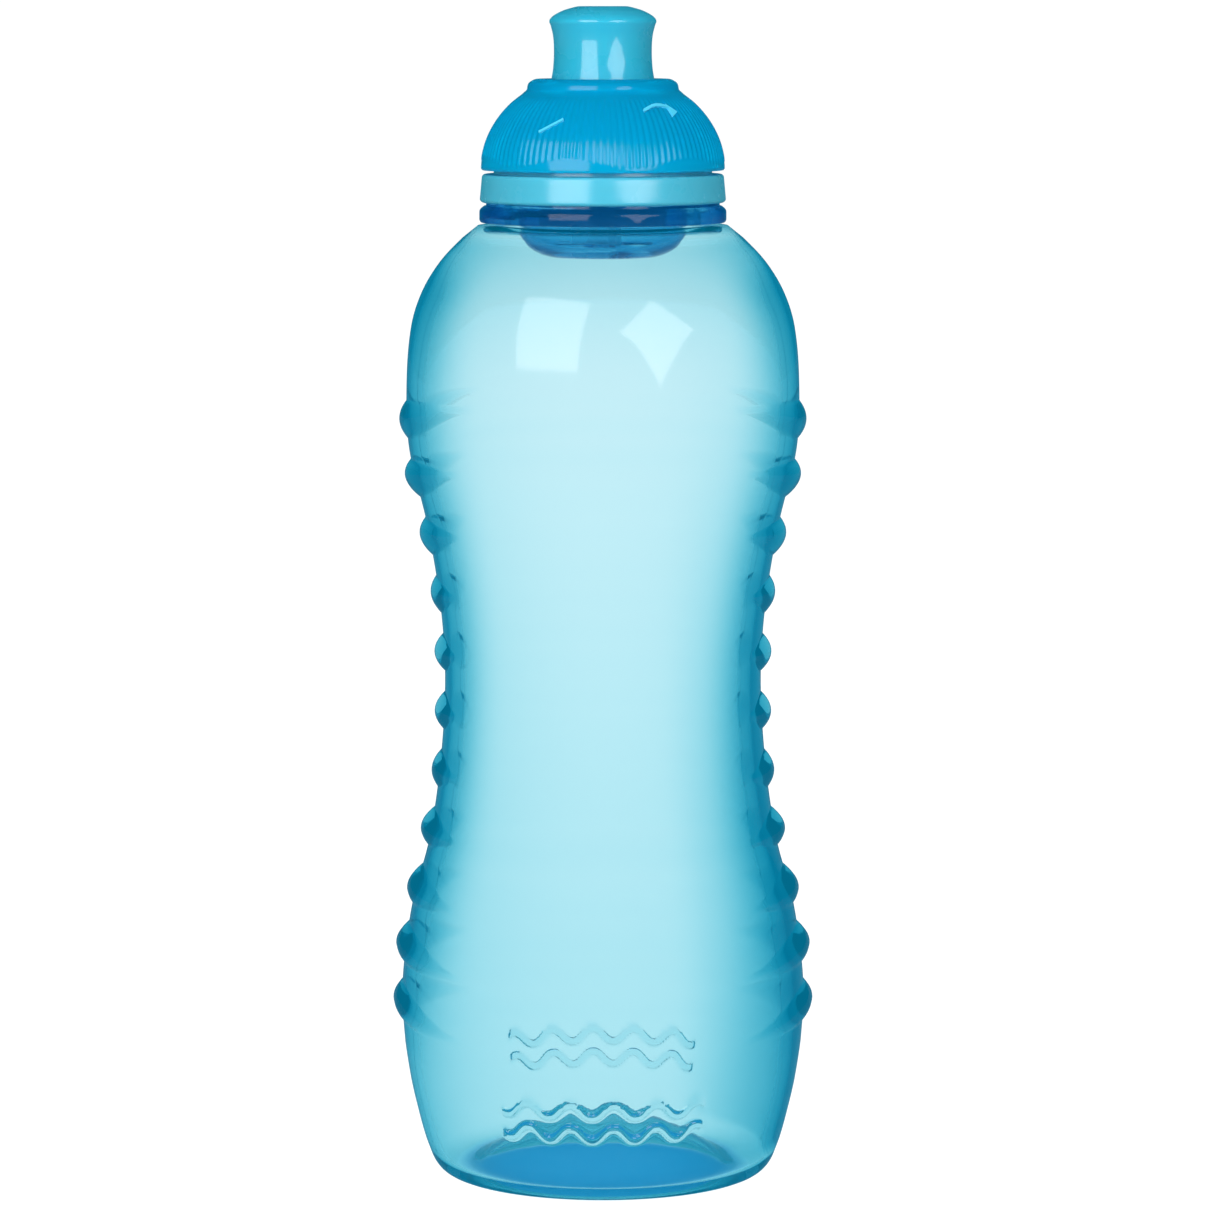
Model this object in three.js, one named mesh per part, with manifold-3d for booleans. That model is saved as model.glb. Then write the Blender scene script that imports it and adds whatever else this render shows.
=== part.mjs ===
// Sports squeeze bottle with a screw cap and a twist-to-open drinking spout.
//
// Millimetres, +Z up. The origin is the centre of the base on the surface that the bottle stands on.
// -Y is the front, and the ribbed grip sides face -X and +X.
//
// How it works: the cap screws on to the neck with one thread, and the twist base is pressed on to
// the cap. The dome turns 90 degrees on the twist base. Cam grooves inside it lift the spout stem,
// whose lugs are held from turning by slots in the base's guide tube. The stem carries the
// mouthpiece off the tip of the fixed valve post, which opens the drinking hole.
import * as THREE from "three";
import { mergeVertices } from "three/addons/utils/BufferGeometryUtils.js";
import Module from "manifold-3d";

const wasm = await Module();
wasm.setup();

// ---------------------------------------------------------------- driving dimensions

const SEGMENTS = 36; // facets round each turned piece
const SMALL_SEGMENTS = 28; // facets round the narrow pieces
const THREAD_STEPS_PER_TURN = 24;
const WALL = 1.2; // moulded wall thickness
const FULL_TURN = 2 * Math.PI;
const MERGE = 1e-4; // vertices closer than this are one vertex
const CUT_MARGIN = 1; // how far a cutter runs past the solid that it cuts
const EMBED = 0.3; // how far an added bead is sunk into its wall

// Bottle body: height above the base, and radius of the plain wall between the grip ridges.
const BODY_OUTLINE = [
  [3, 29.6],
  [6, 30.7],
  [10, 31.8],
  [16, 33.15],
  [25, 34.35],
  [34.5, 34.4],
  [47, 32.65],
  [57, 29.95],
  [70, 27.95],
  [85, 27.0],
  [98, 27.75],
  [112, 30.0],
  [125, 33.0],
  [136, 33.4],
  [146, 32.55],
  [152, 30.6],
  [157, 27.5],
  [161, 23.7],
  [163, 21.3],
];
const FOOT_OUTER_RADIUS = 25.6; // ring that the bottle stands on
const FOOT_INNER_RADIUS = 22.6;
const FOOT_ROLL = { radius: 28.0, z: 0.75 };
const PUNT_OUTLINE = [
  [21.4, 1.1],
  [17, 3.6],
  [10, 8.3],
  [6, 9.4],
]; // pushed-up centre of the base: radius, height
const PUNT_HEIGHT = 9.7;
const HEEL_INSIDE = [
  [27.7, 2.3],
  [26.0, WALL],
  [23.0, WALL],
]; // inside of the corner between side and base: radius, height
const LOWER_ROWS_Z = [3, 6, 10, 17]; // rows of facets below the ridges
const SHOULDER_ROWS_Z = [139, 146, 151, 155, 159, 163]; // rows of facets above the ridges
const INSIDE_ROWS_Z = [158.5, 153, 146, 136, 125, 112, 98, 85, 71, 57, 46, 35, 24, 12, 6];

// Grip ridges: one lens-shaped ridge on each side at every pitch, fanned like ribs.
const RIDGE_COUNT = 11;
const RIDGE_FIRST_Z = 30;
const RIDGE_PITCH = 10;
const RIDGE_WIDTH = 6.5;
const RIDGE_HEIGHT = 1.65;
const RIDGE_FAN_CENTRE_Z = 82; // the ridge here is level, those above sweep up and those below down
const RIDGE_FAN_SLOPE = 0.06; // rise of a ridge's tip per millimetre of height above that ridge
const RIDGE_FAN_FADE = { startZ: 8, fullZ: RIDGE_FIRST_Z, fadingZ: 131, endZ: 150 };
const RIDGE_SECTION = [-1, -0.45, 0.45, 1]; // rows across a ridge, from its lower to its upper edge
const RIDGE_HALF_SPANS = [39, 33, 31, 27, 23, 20, 20, 24, 33, 39, 45]; // degrees, lowest ridge first

// Neck and its thread.
const NECK_ROOT_Z = 163.1;
const NECK_OUTER_RADIUS = 16.7;
const NECK_BORE_RADIUS = 15.5;
const NECK_TOP_Z = 173;
const NECK_FILLET = 0.8;
const NECK_LIP_CHAMFER = 0.4;
const NECK_BORE_BOTTOM_Z = 162.4;
const NECK_FLARE = { radius: 17.7, z: 161.9 };
const THREAD_LEAD = 4.5;
const THREAD_TURNS = 1.1;
const THREAD_FADE = { steps: 4, firstHeight: 0.35 }; // the first and last steps stand lower
const BOTTLE_THREAD = { wall: 16.4, crest: 18.05, rootWidth: 2.0, crestWidth: 0.9, startZ: 165.05 };
const CAP_THREAD = { wall: 18.8, crest: 17.25, rootWidth: 1.6, crestWidth: 0.7, startZ: 164.6 };
const CAP_THREAD_START = 0.4 * FULL_TURN; // puts the cap's thread half a lead from the bottle's

// Screw cap: flange, threaded skirt, deck over the neck, and a well that hangs in the neck.
const FLANGE = { radius: 21.0, bottomZ: 163.5, topZ: 166.1, chamfer: 0.5, crown: 0.3 };
const SKIRT = { rootRadius: 18.45, seatRadius: 19.85, rootTopZ: 170.4, seatTopZ: 170.6, neckedZ: 171.8 };
const CAP_CROWN = { bore: 17.0, radius: 17.75, deckBottomZ: 174.1, deckTopZ: 175.2, hole: 10.95 };
const WELL = { outerRadius: 14.4, innerRadius: 13.2, bottomZ: 157.5, floorTopZ: 159, chamfer: 0.8 };
const WELL_ROOT_OVERLAP = 0.4; // how far the well's wall runs up into the deck
const FLOW_WINDOW = { count: 3, innerRadius: 3.6, outerRadius: 8.6, rib: 2.4 };
const POST_SOCKET_RADIUS = 1.65;

// Twist base: outer band, turret under the dome, deck, and the guide tube for the spout.
const BAND = { innerRadius: 19.95, bottomRadius: 20.9, topRadius: 20.5, bottomZ: 166.9, topZ: 171.7 };
const BAND_EDGE = 0.4;
const BAND_INNER_TOP_Z = 170.75;
const TURRET = { radius: 18.55, bore: 17.85, neckedZ: 172, deckBottomZ: 175.3, deckTopZ: 176.5 };
const TURRET_BEAD = { radius: 18.95, z: 174.7, halfHeight: 0.5 };
const GUIDE_TUBE = { innerRadius: 9.45, outerRadius: 10.8, bottomZ: 163, topZ: 184.2 };
const LUG_COUNT = 3;
const LUG_SLOT = { width: 3.0, bottomZ: 177.6 };

// Twist dome: half an ellipse, ending in a collar round the spout.
const DOME = { rimZ: 172.4, rimRadius: 20.8, ellipseHeight: 17.13, collarZ: 185.7 };
const DOME_OUTSIDE_RISES = [0, 3, 6, 8.5, 10.7, 12.4]; // rows of facets above the rim
const DOME_INSIDE_RISES = [11.4, 9, 6, 3, 0];
const COLLAR = { footRadius: 12.95, radius: 12.7, shoulderZ: 187.1, topZ: 187.8, topRadius: 11.3, bore: 9.3 };
const COLLAR_CEILING = { z: 186.4, footZ: 185.4 };
const DOME_BEAD = { radius: 18.75, z: 173.3, halfHeight: 0.45 };
const CAM_SLEEVE = { innerRadius: 11.2, outerRadius: 13.3, bottomZ: 177, outerTopZ: 184.7, innerTopZ: 185.5 };
const CAM_STEPS = 8;
const CAM_GROOVE_RADIUS = 12.35;
const DOME_TURN = Math.PI / 2;
const SPOUT_LIFT = 4;

// Spout stem with its lugs and seal.
const STEM = { innerRadius: 5.8, outerRadius: 7.2, bottomZ: 164, topZ: 194 };
const STEM_PISTON = { radius: 9.2, topZ: 168.6, grooveRadius: 7.9, grooveBottomZ: 165.3, grooveTopZ: 167.3 };
const LUG = { tipRadius: 12.0, width: 2.4, bottomZ: 178.4, topZ: 180.4, root: 0.4 };
const CAM_CLEARANCE = 0.35;
const O_RING = { centreRadius: 8.65, sectionRadius: 0.7, centreZ: 166.3, facets: 8 };

// Mouthpiece: radius, height of its outside from its hidden foot to the crown.
const MOUTHPIECE_OUTLINE = [
  [8.75, 183],
  [8.75, 187.9],
  [8.45, 189.4],
  [8.3, 192],
  [8.3, 194.4],
  [8.7, 196],
  [9.1, 197.3],
  [8.85, 198],
  [8.05, 198.7],
  [6.5, 199.4],
  [4.4, 200],
];
const DRINKING_HOLE_RADIUS = 3.4;
const MOUTHPIECE_BORE_RADIUS = 7.3;
const MOUTHPIECE_STOP_Z = 194.3;
const MOUTHPIECE_LIP_Z = 196.2;
const MOUTHPIECE_LIP_SLOPE = 0.9;

// Valve post.
const POST_SEGMENTS = 24;
const POST = { pegRadius: 1.5, shaftRadius: 2.5, bottomZ: 157.6, footZ: 159.1 };
const POST_FOOT = { radius: 3.1, topZ: 160.6 };
const POST_TIP = { radius: 3.2, topRadius: 2.3, neckZ: 194.6, bottomZ: 195.4, shoulderZ: 198.6, topZ: 199.4 };
const POST_FIN = { count: 3, firstAngle: Math.PI / 3, radius: 5.3, thickness: 1.1, topZ: 176 };

// Gasket under the cap's deck.
const GASKET = { innerRadius: 14.8, outerRadius: 16.8, bottomZ: 173.05, topZ: 174.0 };

// ---------------------------------------------------------------- solids from three.js geometry

// A closed geometry as a manifold solid: shared vertices merged, slivers at the axis dropped, and
// its faces turned to point out.
function solid(geometry) {
  const bare = geometry.index ? geometry.toNonIndexed() : geometry.clone();
  bare.deleteAttribute("normal");
  bare.deleteAttribute("uv");
  const merged = mergeVertices(bare, MERGE);
  const corners = merged.index.array;
  const triangles = [];
  for (let i = 0; i < corners.length; i += 3) {
    const [a, b, c] = [corners[i], corners[i + 1], corners[i + 2]];
    if (a !== b && b !== c && c !== a) triangles.push([a, b, c]);
  }
  const vertProperties = new Float32Array(merged.attributes.position.array);
  const build = (faces) =>
    new wasm.Manifold(new wasm.Mesh({ numProp: 3, vertProperties, triVerts: new Uint32Array(faces.flat()) }));
  const made = build(triangles);
  return made.volume() > 0 ? made : build(triangles.map((face) => face.toReversed()));
}

// Turns a closed outline of [radius, height] points about the Z axis.
function turned(outline, segments = SEGMENTS) {
  const points = [...outline, outline[0]].map(([radius, height]) => new THREE.Vector2(radius, height));
  const geometry = new THREE.LatheGeometry(points, segments);
  return solid(geometry.rotateX(Math.PI / 2));
}

// Skins a list of rings, each with the same number of points, into one surface. Rings that stand
// on one point close it at the axis; otherwise flat ends close it.
function lofted(rings, { flatEnds = false } = {}) {
  const size = rings[0].length;
  const positions = rings.flat().flatMap((point) => point.toArray());
  const corners = [];
  for (let row = 0; row + 1 < rings.length; row++) {
    for (let i = 0; i < size; i++) {
      const next = (i + 1) % size;
      const [a, b] = [row * size + i, row * size + next];
      const [c, d] = [a + size, b + size];
      corners.push(a, b, d, a, d, c);
    }
  }
  if (flatEnds) {
    const last = (rings.length - 1) * size;
    for (let i = 1; i + 1 < size; i++) {
      corners.push(0, i + 1, i);
      corners.push(last, last + i, last + i + 1);
    }
  }
  const geometry = new THREE.BufferGeometry();
  geometry.setAttribute("position", new THREE.Float32BufferAttribute(positions, 3));
  geometry.setIndex(corners);
  return solid(geometry);
}

// A box from radius `inner` to `outer` along the direction `angle`, between two heights.
function radialBox(angle, inner, outer, width, bottomZ, topZ) {
  const geometry = new THREE.BoxGeometry(outer - inner, width, topZ - bottomZ);
  geometry.translate((inner + outer) / 2, 0, (bottomZ + topZ) / 2);
  return solid(geometry.rotateZ(angle));
}

function polar(radius, angle, z) {
  return new THREE.Vector3(radius * Math.cos(angle), radius * Math.sin(angle), z);
}

function evenAngles(count) {
  return Array.from({ length: count }, (_, i) => (i * FULL_TURN) / count);
}

function joined(solids) {
  return solids.reduce((whole, piece) => whole.add(piece));
}

function without(body, cutters) {
  return cutters.reduce((left, cutter) => left.subtract(cutter), body);
}

function node(name, body, { color, roughness, metalness = 0, opacity = 1 }) {
  const { numProp, numVert, vertProperties, triVerts } = body.getMesh();
  const positions = new Float32Array(numVert * 3);
  for (let i = 0; i < numVert; i++) {
    positions.set(vertProperties.subarray(i * numProp, i * numProp + 3), i * 3);
  }
  const geometry = new THREE.BufferGeometry();
  geometry.setAttribute("position", new THREE.BufferAttribute(positions, 3));
  geometry.setIndex(new THREE.BufferAttribute(triVerts, 1));
  geometry.computeVertexNormals();
  const transparent = opacity < 1;
  const material = new THREE.MeshStandardMaterial({ color, roughness, metalness, opacity, transparent });
  const mesh = new THREE.Mesh(geometry, material);
  mesh.name = name;
  return mesh;
}

// ---------------------------------------------------------------- bottle body

// Radius of the plain body wall at height z: cubic pieces through BODY_OUTLINE.
function bodyRadius(z) {
  const last = BODY_OUTLINE.length - 1;
  const slope = (i) => {
    const [z0, r0] = BODY_OUTLINE[Math.max(i - 1, 0)];
    const [z1, r1] = BODY_OUTLINE[Math.min(i + 1, last)];
    return (r1 - r0) / (z1 - z0);
  };
  let i = 0;
  while (i < last - 1 && BODY_OUTLINE[i + 1][0] < z) i++;
  const [[z0, r0], [z1, r1]] = [BODY_OUTLINE[i], BODY_OUTLINE[i + 1]];
  const span = z1 - z0;
  const t = (z - z0) / span;
  const u = 1 - t;
  return (
    u * u * (1 + 2 * t) * r0 + t * t * (3 - 2 * t) * r1 + span * t * u * (u * slope(i) - t * slope(i + 1))
  );
}

// How far the ridges stand off the wall: `across` runs from -1 to 1 over a ridge's width.
function ridgeHeight(ridge, angle, across) {
  const fromSide = Math.acos(Math.abs(Math.cos(angle)));
  const halfSpan = THREE.MathUtils.degToRad(RIDGE_HALF_SPANS[ridge]);
  const taper = Math.max(0, 1 - (fromSide / halfSpan) ** 2);
  return RIDGE_HEIGHT * taper * (1 - across * across);
}

// Height of a row that is level on the sides and sweeps up or down towards the front and back.
function fannedHeight(z, angle) {
  const towardFront = 1 - Math.abs(Math.cos(angle));
  const { startZ, fullZ, fadingZ, endZ } = RIDGE_FAN_FADE;
  const { smoothstep } = THREE.MathUtils;
  const fade = smoothstep(z, startZ, fullZ) * (1 - smoothstep(z, fadingZ, endZ));
  return z + RIDGE_FAN_SLOPE * (z - RIDGE_FAN_CENTRE_Z) * towardFront * fade;
}

// The outer rows that carry the ridges: at each edge of a ridge and either side of its crest.
function ridgedRings(angles) {
  const rings = [];
  for (let ridge = 0; ridge < RIDGE_COUNT; ridge++) {
    for (const across of RIDGE_SECTION) {
      const z = RIDGE_FIRST_Z + ridge * RIDGE_PITCH + (across * RIDGE_WIDTH) / 2;
      rings.push(
        angles.map((angle) => {
          const height = fannedHeight(z, angle);
          return polar(bodyRadius(height) + ridgeHeight(ridge, angle, across), angle, height);
        }),
      );
    }
  }
  return rings;
}

function bottleBody() {
  const angles = evenAngles(SEGMENTS);
  const level = (radius, z) => angles.map((angle) => polar(radius, angle, z));
  const outer = [
    level(0, PUNT_HEIGHT),
    ...PUNT_OUTLINE.toReversed().map(([radius, z]) => level(radius, z)),
    level(FOOT_INNER_RADIUS, 0),
    level(FOOT_OUTER_RADIUS, 0),
    level(FOOT_ROLL.radius, FOOT_ROLL.z),
    ...LOWER_ROWS_Z.map((z) => level(bodyRadius(z), z)),
    ...ridgedRings(angles),
    ...SHOULDER_ROWS_Z.map((z) => level(bodyRadius(z), z)),
    level(NECK_OUTER_RADIUS + NECK_FILLET, NECK_ROOT_Z),
    level(NECK_OUTER_RADIUS, NECK_ROOT_Z + NECK_FILLET),
    level(NECK_OUTER_RADIUS, NECK_TOP_Z - NECK_LIP_CHAMFER),
    level(NECK_OUTER_RADIUS - NECK_LIP_CHAMFER, NECK_TOP_Z),
  ];
  const inner = [
    level(NECK_BORE_RADIUS, NECK_TOP_Z),
    level(NECK_BORE_RADIUS, NECK_BORE_BOTTOM_Z),
    level(NECK_FLARE.radius, NECK_FLARE.z),
    ...INSIDE_ROWS_Z.map((z) => level(bodyRadius(z) - WALL, z)),
    ...HEEL_INSIDE.map(([radius, z]) => level(radius, z)),
    ...PUNT_OUTLINE.map(([radius, z]) => level(radius, z + WALL)),
    level(0, PUNT_HEIGHT + WALL),
  ];
  const shell = lofted([...outer, ...inner]);
  return shell.add(thread(BOTTLE_THREAD, 0));
}

// A one-start right-hand thread ridge from its wall to its crest, fading in and out at its ends.
function thread({ wall, crest, rootWidth, crestWidth, startZ }, startAngle) {
  const steps = Math.round(THREAD_TURNS * THREAD_STEPS_PER_TURN);
  const rings = [];
  for (let i = 0; i <= steps; i++) {
    const angle = startAngle + (THREAD_TURNS * FULL_TURN * i) / steps;
    const z = startZ + (THREAD_LEAD * THREAD_TURNS * i) / steps;
    const fade = Math.min(1, (Math.min(i, steps - i) + 1) / THREAD_FADE.steps);
    const tip = wall + (crest - wall) * THREE.MathUtils.lerp(THREAD_FADE.firstHeight, 1, fade);
    rings.push([
      polar(wall, angle, z - rootWidth / 2),
      polar(tip, angle, z - crestWidth / 2),
      polar(tip, angle, z + crestWidth / 2),
      polar(wall, angle, z + rootWidth / 2),
    ]);
  }
  return lofted(rings, { flatEnds: true });
}

// ---------------------------------------------------------------- cap

// Small triangular bead standing `radius` proud of the wall at `wallRadius`.
function bead({ radius, z, halfHeight }, wallRadius) {
  return turned([
    [wallRadius, z - halfHeight],
    [radius, z],
    [wallRadius, z + halfHeight],
  ]);
}

function capShell() {
  const { radius, bottomZ, topZ, chamfer, crown } = FLANGE;
  return turned([
    [SKIRT.rootRadius, bottomZ],
    [radius - chamfer, bottomZ],
    [radius, bottomZ + chamfer],
    [radius, topZ - chamfer],
    [SKIRT.seatRadius, topZ + crown],
    [SKIRT.seatRadius, SKIRT.seatTopZ - chamfer],
    [CAP_CROWN.radius, SKIRT.neckedZ],
    [CAP_CROWN.radius, CAP_CROWN.deckTopZ],
    [CAP_CROWN.hole, CAP_CROWN.deckTopZ],
    [CAP_CROWN.hole, CAP_CROWN.deckBottomZ],
    [CAP_CROWN.bore, CAP_CROWN.deckBottomZ],
    [CAP_CROWN.bore, SKIRT.neckedZ - chamfer],
    [SKIRT.rootRadius, SKIRT.rootTopZ],
  ]);
}

function capWell() {
  const { outerRadius, innerRadius, bottomZ, floorTopZ, chamfer } = WELL;
  const rootZ = CAP_CROWN.deckBottomZ + WELL_ROOT_OVERLAP;
  const cup = turned([
    [POST_SOCKET_RADIUS, bottomZ],
    [outerRadius - chamfer, bottomZ],
    [outerRadius, bottomZ + chamfer],
    [outerRadius, rootZ],
    [innerRadius, rootZ],
    [innerRadius, floorTopZ],
    [POST_SOCKET_RADIUS, floorTopZ],
  ]);
  return without(cup, flowWindows());
}

// The windows between the spokes of the well's floor.
function flowWindows() {
  const { count, innerRadius, outerRadius, rib } = FLOW_WINDOW;
  const [bottomZ, topZ] = [WELL.bottomZ - CUT_MARGIN, WELL.floorTopZ + CUT_MARGIN];
  const ring = turned([
    [innerRadius, bottomZ],
    [outerRadius, bottomZ],
    [outerRadius, topZ],
    [innerRadius, topZ],
  ]);
  const spokes = evenAngles(count).map((angle) =>
    radialBox(
      angle + Math.PI / count,
      0,
      outerRadius + CUT_MARGIN,
      rib,
      bottomZ - CUT_MARGIN,
      topZ + CUT_MARGIN,
    ),
  );
  return [without(ring, spokes)];
}

function screwCap() {
  return joined([capShell(), capWell(), thread(CAP_THREAD, CAP_THREAD_START)]);
}

function guideTube() {
  const { innerRadius, outerRadius, bottomZ, topZ } = GUIDE_TUBE;
  const tube = turned([
    [innerRadius, bottomZ],
    [outerRadius, bottomZ],
    [outerRadius, topZ],
    [innerRadius, topZ],
  ]);
  const slots = evenAngles(LUG_COUNT).map((angle) =>
    radialBox(
      angle,
      innerRadius - CUT_MARGIN,
      outerRadius + CUT_MARGIN,
      LUG_SLOT.width,
      LUG_SLOT.bottomZ,
      topZ + CUT_MARGIN,
    ),
  );
  return without(tube, slots);
}

function bandAndTurret() {
  const { innerRadius, bottomRadius, topRadius, bottomZ, topZ } = BAND;
  return turned([
    [innerRadius, bottomZ],
    [bottomRadius - BAND_EDGE, bottomZ],
    [bottomRadius, bottomZ + BAND_EDGE],
    [topRadius, topZ - BAND_EDGE],
    [topRadius - BAND_EDGE / 2, topZ],
    [TURRET.radius, topZ],
    [TURRET.radius, TURRET.deckTopZ],
    [GUIDE_TUBE.innerRadius, TURRET.deckTopZ],
    [GUIDE_TUBE.innerRadius, TURRET.deckBottomZ],
    [TURRET.bore, TURRET.deckBottomZ],
    [TURRET.bore, TURRET.neckedZ],
    [innerRadius, BAND_INNER_TOP_Z],
  ]);
}

function twistBase() {
  return joined([bandAndTurret(), guideTube(), bead(TURRET_BEAD, TURRET.radius - EMBED)]);
}

function neckGasket() {
  const { innerRadius, outerRadius, bottomZ, topZ } = GASKET;
  return turned([
    [innerRadius, bottomZ],
    [outerRadius, bottomZ],
    [outerRadius, topZ],
    [innerRadius, topZ],
  ]);
}

function valvePost() {
  const { pegRadius, shaftRadius, bottomZ, footZ } = POST;
  const pin = turned(
    [
      [0, bottomZ],
      [pegRadius, bottomZ],
      [pegRadius, footZ],
      [POST_FOOT.radius, footZ],
      [shaftRadius, POST_FOOT.topZ],
      [shaftRadius, POST_TIP.neckZ],
      [POST_TIP.radius, POST_TIP.bottomZ],
      [POST_TIP.radius, POST_TIP.shoulderZ],
      [POST_TIP.topRadius, POST_TIP.topZ],
      [0, POST_TIP.topZ],
    ],
    POST_SEGMENTS,
  );
  const fins = evenAngles(POST_FIN.count).map((angle) =>
    radialBox(angle + POST_FIN.firstAngle, 0, POST_FIN.radius, POST_FIN.thickness, footZ, POST_FIN.topZ),
  );
  return joined([pin, ...fins]);
}

// ---------------------------------------------------------------- dome

// Radius of the dome at height z, `inset` inside its outer face.
function domeRadius(z, inset = 0) {
  const rise = (z - DOME.rimZ) / (DOME.ellipseHeight - inset);
  return (DOME.rimRadius - inset) * Math.sqrt(1 - rise * rise);
}

function domeShell() {
  const row = (rise, inset) => [domeRadius(DOME.rimZ + rise, inset), DOME.rimZ + rise];
  return turned([
    ...DOME_OUTSIDE_RISES.map((rise) => row(rise, 0)),
    [COLLAR.footRadius, DOME.collarZ],
    [COLLAR.radius, COLLAR.shoulderZ],
    [COLLAR.topRadius, COLLAR.topZ],
    [COLLAR.bore, COLLAR.topZ],
    [COLLAR.bore, COLLAR_CEILING.z],
    [CAM_SLEEVE.innerRadius, COLLAR_CEILING.footZ],
    ...DOME_INSIDE_RISES.map((rise) => row(rise, WALL)),
  ]);
}

// The inside sleeve that holds the cam grooves.
function camSleeve() {
  const { innerRadius, outerRadius, bottomZ, outerTopZ, innerTopZ } = CAM_SLEEVE;
  const sleeve = turned([
    [innerRadius, bottomZ],
    [outerRadius, bottomZ],
    [outerRadius, outerTopZ],
    [innerRadius, innerTopZ],
  ]);
  return without(sleeve, evenAngles(LUG_COUNT).map(camGroove));
}

// The groove that lifts one lug as the dome turns: it climbs backwards from the lug's rest angle.
function camGroove(lugAngle) {
  const innerRadius = CAM_SLEEVE.innerRadius - CUT_MARGIN;
  const endSlack = (LUG.width / 2 + CAM_CLEARANCE) / CAM_SLEEVE.innerRadius;
  const rings = [];
  for (let i = -1; i <= CAM_STEPS + 1; i++) {
    const along = THREE.MathUtils.clamp(i / CAM_STEPS, 0, 1);
    const beyond = i / CAM_STEPS - along;
    const angle = lugAngle - DOME_TURN * along - Math.sign(beyond) * endSlack;
    const lift = SPOUT_LIFT * along;
    const bottomZ = LUG.bottomZ + lift - CAM_CLEARANCE;
    const topZ = LUG.topZ + lift + CAM_CLEARANCE;
    rings.push([
      polar(innerRadius, angle, bottomZ),
      polar(innerRadius, angle, topZ),
      polar(CAM_GROOVE_RADIUS, angle, topZ),
      polar(CAM_GROOVE_RADIUS, angle, bottomZ),
    ]);
  }
  return lofted(rings, { flatEnds: true });
}

function twistDome() {
  return joined([domeShell(), camSleeve(), bead(DOME_BEAD, DOME.rimRadius - WALL + EMBED)]);
}

// ---------------------------------------------------------------- spout

function spoutStem() {
  const { innerRadius, outerRadius, bottomZ, topZ } = STEM;
  const { radius, topZ: pistonTopZ, grooveRadius, grooveBottomZ, grooveTopZ } = STEM_PISTON;
  const tube = turned(
    [
      [innerRadius, bottomZ],
      [radius, bottomZ],
      [radius, grooveBottomZ],
      [grooveRadius, grooveBottomZ],
      [grooveRadius, grooveTopZ],
      [radius, grooveTopZ],
      [radius, pistonTopZ],
      [outerRadius, pistonTopZ],
      [outerRadius, topZ],
      [innerRadius, topZ],
    ],
    SMALL_SEGMENTS,
  );
  const lugs = evenAngles(LUG_COUNT).map((angle) =>
    radialBox(angle, outerRadius - LUG.root, LUG.tipRadius, LUG.width, LUG.bottomZ, LUG.topZ),
  );
  return joined([tube, ...lugs]);
}

function stemORing() {
  const { centreRadius, sectionRadius, centreZ, facets } = O_RING;
  const section = evenAngles(facets).map((angle) => [
    centreRadius + sectionRadius * Math.cos(angle),
    centreZ + sectionRadius * Math.sin(angle),
  ]);
  return turned(section, SMALL_SEGMENTS);
}

function mouthpiece() {
  return turned(
    [
      ...MOUTHPIECE_OUTLINE,
      [DRINKING_HOLE_RADIUS, MOUTHPIECE_OUTLINE.at(-1)[1]],
      [DRINKING_HOLE_RADIUS, MOUTHPIECE_LIP_Z],
      [STEM.innerRadius, MOUTHPIECE_LIP_Z - MOUTHPIECE_LIP_SLOPE],
      [STEM.innerRadius, MOUTHPIECE_STOP_Z],
      [MOUTHPIECE_BORE_RADIUS, MOUTHPIECE_STOP_Z],
      [MOUTHPIECE_BORE_RADIUS, MOUTHPIECE_OUTLINE[0][1]],
    ],
    SMALL_SEGMENTS,
  );
}

// ---------------------------------------------------------------- assembly

const BOTTLE_BLUE = { color: 0x9fe3ec, roughness: 0.3, opacity: 0.55 };
const CAP_NAVY = { color: 0x05437a, roughness: 0.25, opacity: 0.9 };
const BASE_TURQUOISE = { color: 0x5fc9e2, roughness: 0.3 };
const DOME_BLUE = { color: 0x0098d0, roughness: 0.25, opacity: 0.9 };
const SPOUT_TURQUOISE = { color: 0x3cbedc, roughness: 0.35 };
const STEM_WHITE = { color: 0xd8eef2, roughness: 0.4 };
const SEAL_GREY = { color: 0x8ea3ab, roughness: 0.6 };

const bottle = new THREE.Group();
bottle.add(node("bottle_body", bottleBody(), BOTTLE_BLUE));

const cap = new THREE.Group();
cap.add(node("neck_gasket", neckGasket(), SEAL_GREY));
cap.add(node("screw_cap", screwCap(), CAP_NAVY));
cap.add(node("twist_base", twistBase(), BASE_TURQUOISE));
cap.add(node("valve_post", valvePost(), CAP_NAVY));
bottle.add(cap);

const valve = new THREE.Group();
valve.add(node("twist_dome", twistDome(), DOME_BLUE));
valve.add(node("spout_stem", spoutStem(), STEM_WHITE));
valve.add(node("stem_o_ring", stemORing(), SEAL_GREY));
valve.add(node("mouthpiece", mouthpiece(), SPOUT_TURQUOISE));
cap.add(valve);

export default bottle;
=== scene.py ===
"""Looks of the sports squeeze bottle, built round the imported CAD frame.

Shapes are written in millimetres, and turned into metres as each mesh is made. Lights, the camera and what
a material reads from the frame are in metres. Front is -Y, +Z is up, and angles are measured about +Z from
+X, so the front is at -90 degrees.
"""
import math

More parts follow.
